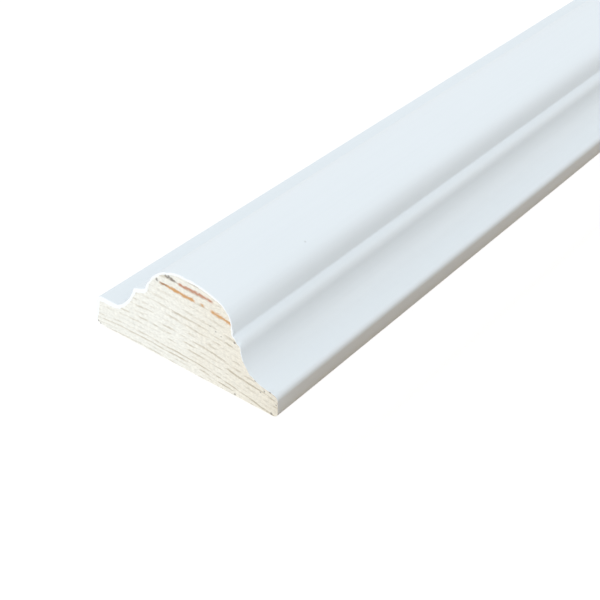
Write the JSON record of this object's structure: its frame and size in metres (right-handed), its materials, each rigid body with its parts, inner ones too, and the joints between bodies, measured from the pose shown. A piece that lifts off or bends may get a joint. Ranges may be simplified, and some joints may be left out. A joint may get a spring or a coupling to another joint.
{
  "type": "wall panel moulding",
  "caption": "Straight timber moulding with a lip, hollow, step, large swell, ledge and scotia, coated white on its face, both ends cut square to show bare end grain.",
  "frame": {"origin": "middle of the flat back, midway between the two cut ends", "axes": "+Y along the strip's length, +X across it from the thick outer lip to the thin inner lip, +Z out of the back towards the crown"},
  "size_m": [0.045, 0.22, 0.021],
  "materials": {
    "white_ground": "satin",
    "bare_pine": "matte"
  },
  "bodies": {
    "root": {"moulding": "white_ground"}
  },
  "joints": []
}
